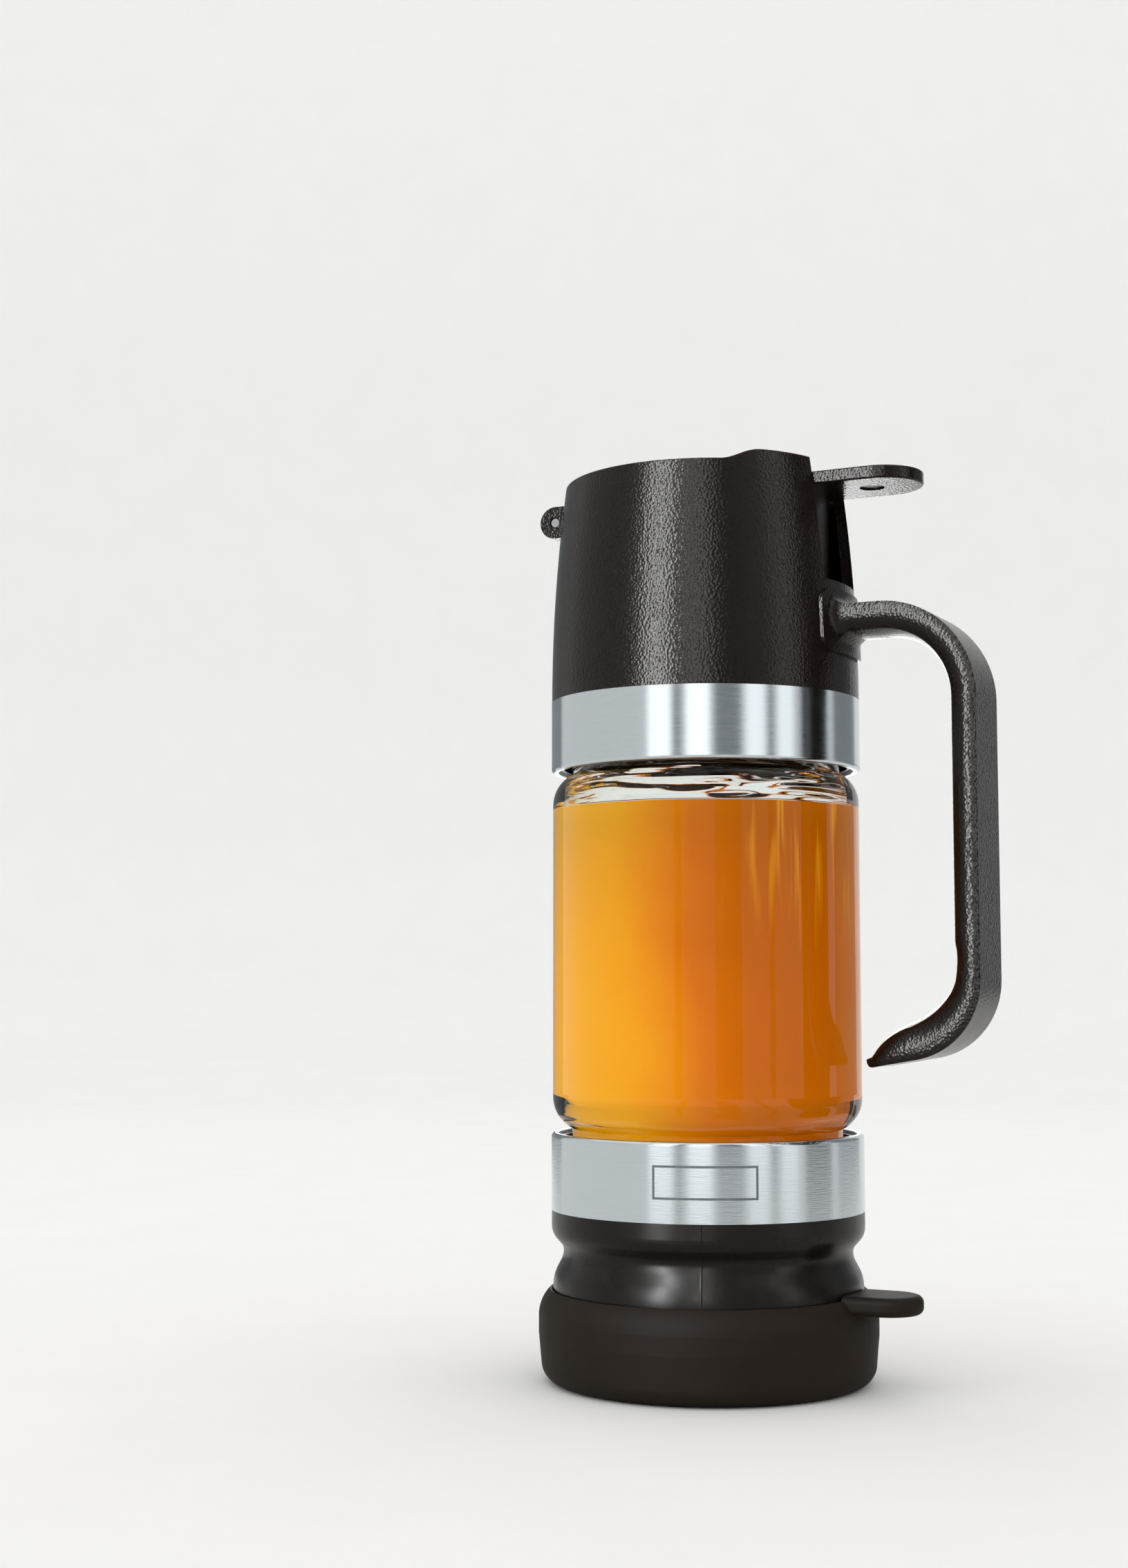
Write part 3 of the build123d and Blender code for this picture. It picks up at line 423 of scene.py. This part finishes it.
def blossom_honey():
    """Clear honey with painted light: a painted glow, gold on the side towards the lamps, amber
    painted shade away from them, with runs.
    """
    # Painted light across the jar: gold on the side towards the lamps, amber painted shade on the
    # far side, and how far a cloud shifts it. Amber reaches further at the top.
    painted_lit_side = -20 * MM
    painted_shade_side = 46 * MM
    cloud_width = 30 * MM
    cloud_shift = 16 * MM
    lean_share = 0.05
    # Lighter runs down the glass on the amber side: they start at run_low and are full at run_high.
    run_width = 2.6 * MM
    run_length = 50 * MM
    run_low = 96 * MM
    run_high = 122 * MM
    run_fade = 12 * MM
    run_depth = 0.4 * MM
    finish, tree = new_finish("blossom_honey")
    place = node(tree, "ShaderNodeTexCoord", {}).outputs["Object"]
    side = node(
        tree, "ShaderNodeVectorMath", {0: place, 1: tuple(ACROSS)}, operation="DOT_PRODUCT"
    )
    cloud = node(
        tree, "ShaderNodeTexNoise", {"Vector": place, "Scale": 1 / cloud_width, "Detail": 2.0}
    )
    parts = node(tree, "ShaderNodeSeparateXYZ", {"Vector": place})
    lean = node(
        tree,
        "ShaderNodeMath",
        {0: parts.outputs["Z"], 1: lean_share, 2: side.outputs["Value"]},
        operation="MULTIPLY_ADD",
    )
    drift = node(
        tree,
        "ShaderNodeMath",
        {0: cloud.outputs["Fac"], 1: cloud_shift, 2: lean.outputs[0]},
        operation="MULTIPLY_ADD",
    )
    # Painted light and shade: how far across the jar the honey turns from lit gold to shaded amber
    painted_light_across = node(
        tree,
        "ShaderNodeMapRange",
        {"Value": drift.outputs[0], "From Min": painted_lit_side, "From Max": painted_shade_side},
    )
    body = node(tree, "ShaderNodeValToRGB", {"Fac": painted_light_across.outputs["Result"]})
    stops = body.color_ramp.elements
    stops[0].color = linear("#e8a912")
    stops[1].color = linear("#ba6a04")
    for at, code in (
        (0.24, "#e7a00a"),
        (0.36, "#de8703"),
        (0.47, "#d06f00"),
        (0.65, "#be6200"),
        (0.9, "#b35c02"),
    ):
        stops.new(at).color = linear(code)
    run_scale = node(
        tree,
        "ShaderNodeMapping",
        {"Vector": place, "Scale": (1 / run_width, 1 / run_width, 1 / run_length)},
    )
    runs = node(
        tree,
        "ShaderNodeTexNoise",
        {"Vector": run_scale.outputs["Vector"], "Scale": 1.0, "Detail": 2.0},
    )
    # Only the peaks of the noise are runs.
    run_edges = node(
        tree,
        "ShaderNodeMapRange",
        {"Value": runs.outputs["Fac"], "From Min": 0.56, "From Max": 0.66},
    )
    high = node(
        tree,
        "ShaderNodeMapRange",
        {"Value": parts.outputs["Z"], "From Min": run_low, "From Max": run_high},
    )
    far_side = node(
        tree,
        "ShaderNodeMapRange",
        {"Value": side.outputs["Value"], "From Min": 0.0, "From Max": run_fade},
    )
    where = node(
        tree,
        "ShaderNodeMath",
        {0: high.outputs["Result"], 1: far_side.outputs["Result"]},
        operation="MULTIPLY",
    )
    run_mask = node(
        tree,
        "ShaderNodeMath",
        {0: where.outputs[0], 1: run_edges.outputs["Result"]},
        operation="MULTIPLY",
    )
    tone = node(
        tree,
        "ShaderNodeMix",
        {"Factor": run_mask.outputs[0], "A": body.outputs["Color"], "B": linear("#dc9018")},
        data_type="RGBA",
    )
    # Painted shade: the level top is painted deep and dark, as it looks from above where no glass
    # wall lights it.
    shape = node(tree, "ShaderNodeNewGeometry", {})
    facing = node(tree, "ShaderNodeSeparateXYZ", {"Vector": shape.outputs["True Normal"]})
    painted_top_shade = node(
        tree,
        "ShaderNodeMapRange",
        {"Value": facing.outputs["Z"], "From Min": 0.6, "From Max": 0.95},
    )
    whole = node(
        tree,
        "ShaderNodeMix",
        {
            "Factor": painted_top_shade.outputs["Result"],
            "A": tone.outputs["Result"],
            "B": linear("#4e2c08"),
        },
        data_type="RGBA",
    )
    relief = node(
        tree,
        "ShaderNodeBump",
        {"Strength": 0.4, "Distance": run_depth, "Height": run_mask.outputs[0]},
    )
    # Its own glow stands in for the light that real honey passes on.
    honey = node(
        tree,
        "ShaderNodeBsdfPrincipled",
        {
            "Base Color": whole.outputs["Result"],
            "Roughness": 0.25,
            "IOR": 1.49,
            "Specular IOR Level": 0.0,
            "Emission Color": whole.outputs["Result"],
            "Emission Strength": 0.59,
            "Normal": relief.outputs["Normal"],
        },
    )
    node(tree, "ShaderNodeOutputMaterial", {"Surface": honey.outputs["BSDF"]})
    return finish


def matt_silicone():
    """Black silicone rubber, moulded matt: a soft dusty bloom and almost no gloss."""
    dust_width = 0.4 * MM
    dust_depth = 0.05 * MM
    bloom_width = 14 * MM
    finish, tree = new_finish("matt_silicone")
    place = node(tree, "ShaderNodeTexCoord", {}).outputs["Object"]
    dust = node(
        tree, "ShaderNodeTexNoise", {"Vector": place, "Scale": 1 / dust_width, "Detail": 3.0}
    )
    relief = node(
        tree,
        "ShaderNodeBump",
        {"Strength": 0.2, "Distance": dust_depth, "Height": dust.outputs["Fac"]},
    )
    bloom = node(
        tree, "ShaderNodeTexNoise", {"Vector": place, "Scale": 1 / bloom_width, "Detail": 3.0}
    )
    tone = node(
        tree,
        "ShaderNodeMix",
        {"Factor": bloom.outputs["Fac"], "A": linear("#1e1710"), "B": linear("#251d16")},
        data_type="RGBA",
    )
    rubber = node(
        tree,
        "ShaderNodeBsdfPrincipled",
        {
            "Base Color": tone.outputs["Result"],
            "Roughness": 0.62,
            "IOR": 1.41,
            "Specular IOR Level": 0.12,
            "Normal": relief.outputs["Normal"],
        },
    )
    node(tree, "ShaderNodeOutputMaterial", {"Surface": rubber.outputs["BSDF"]})
    return finish


def milky_silicone():
    """Unpigmented silicone of the valves and seals, moulded: milky, soft and slightly glossy."""
    cloud_width = 3 * MM
    finish, tree = new_finish("milky_silicone")
    place = node(tree, "ShaderNodeTexCoord", {}).outputs["Object"]
    cloud = node(
        tree, "ShaderNodeTexNoise", {"Vector": place, "Scale": 1 / cloud_width, "Detail": 2.0}
    )
    tone = node(
        tree,
        "ShaderNodeMix",
        {"Factor": cloud.outputs["Fac"], "A": linear("#cfcdc8"), "B": linear("#e2e1dd")},
        data_type="RGBA",
    )
    rubber = node(
        tree,
        "ShaderNodeBsdfPrincipled",
        {"Base Color": tone.outputs["Result"], "Roughness": 0.45, "IOR": 1.41},
    )
    node(tree, "ShaderNodeOutputMaterial", {"Surface": rubber.outputs["BSDF"]})
    return finish


def natural_polypropylene():
    """Uncoloured polypropylene of the pump, moulded: waxy off-white with a soft mottle."""
    mottle_width = 2 * MM
    finish, tree = new_finish("natural_polypropylene")
    place = node(tree, "ShaderNodeTexCoord", {}).outputs["Object"]
    mottle = node(
        tree, "ShaderNodeTexNoise", {"Vector": place, "Scale": 1 / mottle_width, "Detail": 3.0}
    )
    tone = node(
        tree,
        "ShaderNodeMix",
        {"Factor": mottle.outputs["Fac"], "A": linear("#d8d5cb"), "B": linear("#e6e4dc")},
        data_type="RGBA",
    )
    plastic = node(
        tree,
        "ShaderNodeBsdfPrincipled",
        {"Base Color": tone.outputs["Result"], "Roughness": 0.4, "IOR": 1.49},
    )
    node(tree, "ShaderNodeOutputMaterial", {"Surface": plastic.outputs["BSDF"]})
    return finish


def seamless_paper():
    """White studio paper with a faint fibre."""
    fibre_width = 40 * MM
    finish, tree = new_finish("seamless_paper")
    place = node(tree, "ShaderNodeTexCoord", {}).outputs["Object"]
    fibre = node(
        tree, "ShaderNodeTexNoise", {"Vector": place, "Scale": 1 / fibre_width, "Detail": 3.0}
    )
    tone = node(
        tree,
        "ShaderNodeMix",
        {"Factor": fibre.outputs["Fac"], "A": linear("#eeeeed"), "B": linear("#f2f2f1")},
        data_type="RGBA",
    )
    paper = node(
        tree,
        "ShaderNodeBsdfPrincipled",
        {"Base Color": tone.outputs["Result"], "Roughness": 0.9, "Specular IOR Level": 0.0},
    )
    node(tree, "ShaderNodeOutputMaterial", {"Surface": paper.outputs["BSDF"]})
    return finish


def felt(name, low, high):
    """Felt on a studio card: soft and dull."""
    fluff_width = 5 * MM
    finish, tree = new_finish(name)
    place = node(tree, "ShaderNodeTexCoord", {}).outputs["Object"]
    fluff = node(
        tree, "ShaderNodeTexNoise", {"Vector": place, "Scale": 1 / fluff_width, "Detail": 3.0}
    )
    tone = node(
        tree,
        "ShaderNodeMix",
        {"Factor": fluff.outputs["Fac"], "A": linear(low), "B": linear(high)},
        data_type="RGBA",
    )
    cloth = node(
        tree,
        "ShaderNodeBsdfPrincipled",
        {"Base Color": tone.outputs["Result"], "Roughness": 1.0},
    )
    node(tree, "ShaderNodeOutputMaterial", {"Surface": cloth.outputs["BSDF"]})
    return finish


def place_piece(name, mesh, finish):
    """Puts a bmesh into the scene as a smooth piece with one finish."""
    bmesh.ops.remove_doubles(mesh, verts=mesh.verts, dist=MERGE_DISTANCE)
    bmesh.ops.recalc_face_normals(mesh, faces=mesh.faces)
    data = bpy.data.meshes.new(name)
    mesh.to_mesh(data)
    mesh.free()
    data.materials.append(finish)
    data.shade_smooth()
    piece = bpy.data.objects.new(name, data)
    bpy.context.scene.collection.objects.link(piece)
    return piece


def turned(profile):
    """Turns a line of (radius, height) points in millimetres round the jar's axis."""
    mesh = bmesh.new()
    corners = [mesh.verts.new((radius * MM, 0, height * MM)) for radius, height in profile]
    edges = [mesh.edges.new(pair) for pair in zip(corners, corners[1:])]
    bmesh.ops.spin(
        mesh,
        geom=corners + edges,
        cent=(0, 0, 0),
        axis=(0, 0, 1),
        angle=radians(360),
        steps=TURN_STEPS,
        use_merge=True,
    )
    return mesh


grained = leather_grained_abs()
satin = satin_moulded_abs()
brushed = round_brushed_steel()
etched = etched_steel()
drawn = drawn_steel()
glass = blown_soda_glass()
honey = blossom_honey()
rubber = matt_silicone()
milky = milky_silicone()
natural = natural_polypropylene()
paper = seamless_paper()

finishes = {
    grained: ("top_housing", "handle", "thumb_lever"),
    satin: ("nozzle_base", "nozzle_funnel", "valve_retainer"),
    brushed: ("upper_steel_ring", "lower_steel_ring"),
    drawn: ("lever_pin", "handle_screws", "pump_screws", "return_spring"),
    glass: ("glass_jar",),
    rubber: ("silicone_base",),
    milky: (
        "slit_valve",
        "check_valve",
        "intake_flap",
        "piston_seal",
        "pump_gasket",
        "upper_gasket",
        "lower_gasket",
    ),
    natural: ("pump_cylinder", "cylinder_cap", "plunger"),
}
for finish, names in finishes.items():
    for name in names:
        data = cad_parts[name].data
        data.materials.clear()
        data.materials.append(finish)

# Honey in the jar. It reaches a touch into the glass, so that no gap shows between them.
jar_foot = JAR_LOW.z / MM
neck_inside = 28.6
fill_radius = JAR_HIGH.x / MM - 2.45
fill_foot = 41.7
foot_inset = 0.4
fill_level = 129.0
# Up the neck and round the lower shoulder: out from the neck's bore, up from the jar's foot
shoulder = ((0.02, 2), (0.03, 12.6), (1.2, 13.6), (2.9, 15.2), (4.0, 17.2))
shoulder_end = 19.6
# The skin climbs the glass where it stands: in from the wall, up from the level
skin = ((0, 0.9), (0.25, 0.6), (0.8, 0.2), (2.2, 0))
honey_fill = place_piece(
    "honey_fill",
    turned(
        [
            (0, fill_foot),
            (neck_inside - foot_inset, fill_foot),
            *[(neck_inside + out, jar_foot + up) for out, up in shoulder],
            (fill_radius, jar_foot + shoulder_end),
            *[(fill_radius - inwards, fill_level + up) for inwards, up in skin],
            (0, fill_level),
        ]
    ),
    honey,
)
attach(honey_fill, "jar")

# Bare name plate on the lower ring: the outline of a rectangle, etched at the front
plate_left = radians(-86.4)
plate_right = radians(-49.3)
plate_low = 43.6
plate_high = 50.9
plate_line = 0.5
plate_sunk = 0.05
plate_proud = 0.04
plate_step = radians(2)
ring_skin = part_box("lower_steel_ring")[1].x / MM
line_turn = plate_line / ring_skin
plate_bars = (
    (plate_left, plate_right, plate_low, plate_low + plate_line),
    (plate_left, plate_right, plate_high - plate_line, plate_high),
    (plate_left, plate_left + line_turn, plate_low + plate_line, plate_high - plate_line),
    (plate_right - line_turn, plate_right, plate_low + plate_line, plate_high - plate_line),
)
outline = bmesh.new()
for start, end, low, high in plate_bars:
    corners = [
        outline.verts.new(Matrix.Rotation(start, 3, "Z") @ Vector((reach * MM, 0, height * MM)))
        for reach, height in (
            (ring_skin - plate_sunk, low),
            (ring_skin + plate_proud, low),
            (ring_skin + plate_proud, high),
            (ring_skin - plate_sunk, high),
        )
    ]
    face = outline.faces.new(corners)
    bmesh.ops.spin(
        outline,
        geom=[face, *face.edges, *corners],
        cent=(0, 0, 0),
        axis=(0, 0, 1),
        angle=end - start,
        steps=max(2, round((end - start) / plate_step)),
    )
plate_outline = place_piece("plate_outline", outline, etched)
plate_outline.data.shade_flat()
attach(plate_outline, "nozzle_unit")

# Return spring as a piece of its own: a copy of the part's mesh, carried by the top unit, in place
# of the part
coil = bpy.data.objects.new("return_coil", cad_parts["return_spring"].data.copy())
bpy.context.scene.collection.objects.link(coil)
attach(coil, "top_unit")
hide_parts("return_spring")
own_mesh(coil)

# Floor that curves up into a wall all round: its line as (radius, height)
floor_line = (
    (0, 0),
    (900, 0),
    (1300, 0),
    (1480, 30),
    (1620, 110),
    (1720, 240),
    (1780, 420),
    (1800, 640),
    (1800, 1400),
)
studio = place_piece("studio_bowl", turned(floor_line), paper)


def stand_at(name, data, turn):
    """Stands a lamp or card round from the lens by an angle, facing the jar's axis."""
    stand = bpy.data.objects.new(name, data)
    away = Matrix.Rotation(radians(turn), 3, "Z") @ TOWARDS
    middle = STAND_LENGTH / 2 + STAND_GAP
    stand.location = away * STAND_DISTANCE * MM + Vector((0, 0, middle * MM))
    stand.rotation_euler = (-away).to_track_quat("-Z", "Y").to_euler()
    stand.visible_camera = False
    stand.visible_diffuse = False
    bpy.context.scene.collection.objects.link(stand)
    return stand


def soft_box(name, turn, width, glow, lit):
    """A tall soft lamp that lights one group of pieces, with the same glow at any width."""
    lamp = bpy.data.lights.new(name, "AREA")
    lamp.shape = "RECTANGLE"
    lamp.size = width * MM
    lamp.size_y = STAND_LENGTH * MM
    lamp.energy = glow * pi * lamp.size * lamp.size_y
    stand_at(name, lamp, turn).light_linking.receiver_collection = lit


def card(name, turn, width, cloth):
    """A tall card that leaves a darker band in the steel."""
    mesh = bmesh.new()
    bmesh.ops.create_grid(mesh, x_segments=1, y_segments=1, size=0.5)
    bmesh.ops.scale(mesh, vec=(width * MM, STAND_LENGTH * MM, 1), verts=mesh.verts)
    data = bpy.data.meshes.new(name)
    mesh.to_mesh(data)
    mesh.free()
    data.materials.append(cloth)
    stand = stand_at(name, data, turn)
    stand.visible_transmission = False


def lit_group(name, pieces):
    """A group of pieces that lamps are set for."""
    group = bpy.data.collections.new(name)
    for piece in pieces:
        group.objects.link(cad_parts[piece])
    return group


# Lamps on the black pieces are mostly far brighter than those on the steel. None lights the
# glass, which only the white surroundings light.
on_black = lit_group("on_black", finishes[grained] + finishes[satin] + finishes[rubber])
on_steel = lit_group("on_steel", finishes[brushed] + finishes[drawn])
on_steel.objects.link(plate_outline)

black_cloth = felt("black_felt", "#2a2b2c", "#333436")
grey_cloth = felt("grey_felt", "#8d9194", "#989c9f")
soft_box("key_black", turn=-35, width=100, glow=44.0, lit=on_black)
soft_box("front_black", turn=-5.5, width=130, glow=7.0, lit=on_black)
soft_box("side_black", turn=62, width=150, glow=2.5, lit=on_black)
soft_box("back_black", turn=180, width=200, glow=3.0, lit=on_black)
soft_box("key_steel", turn=-33, width=195, glow=1.12, lit=on_steel)
soft_box("front_steel", turn=-5.2, width=190, glow=1.15, lit=on_steel)
soft_box("fill_steel", turn=36.2, width=163, glow=0.78, lit=on_steel)
soft_box("side_steel", turn=60, width=150, glow=0.72, lit=on_steel)
soft_box("back_steel", turn=180, width=200, glow=1.5, lit=on_steel)
card("card_left", turn=-20, width=60, cloth=grey_cloth)
card("card_middle", turn=16, width=215, cloth=grey_cloth)
card("card_side", turn=48, width=45, cloth=grey_cloth)
card("card_right", turn=86, width=300, cloth=black_cloth)
card("card_far_right", turn=125, width=420, cloth=grey_cloth)
card("card_far_left", turn=-150, width=420, cloth=grey_cloth)

sky = bpy.data.worlds.new("soft_tent")
sky.use_nodes = True
tent = sky.node_tree.nodes["Background"]
tent.inputs["Color"].default_value = linear("#ffffff")
tent.inputs["Strength"].default_value = 1.2
bpy.context.scene.world = sky
bpy.context.scene.view_settings.view_transform = "Standard"

# The lens is low, and its aim puts the dispenser where the photograph has it
lens_place = Vector((203.2, -478.7, 88.8)) * MM
lens_aim = Vector((-30.4, -12.9, 136.4)) * MM
lens = bpy.data.cameras.new("lens")
lens.lens = 51.3
camera = bpy.data.objects.new("camera", lens)
camera.location = lens_place
camera.rotation_euler = (lens_aim - lens_place).to_track_quat("-Z", "Y").to_euler()
bpy.context.scene.collection.objects.link(camera)
bpy.context.scene.camera = camera
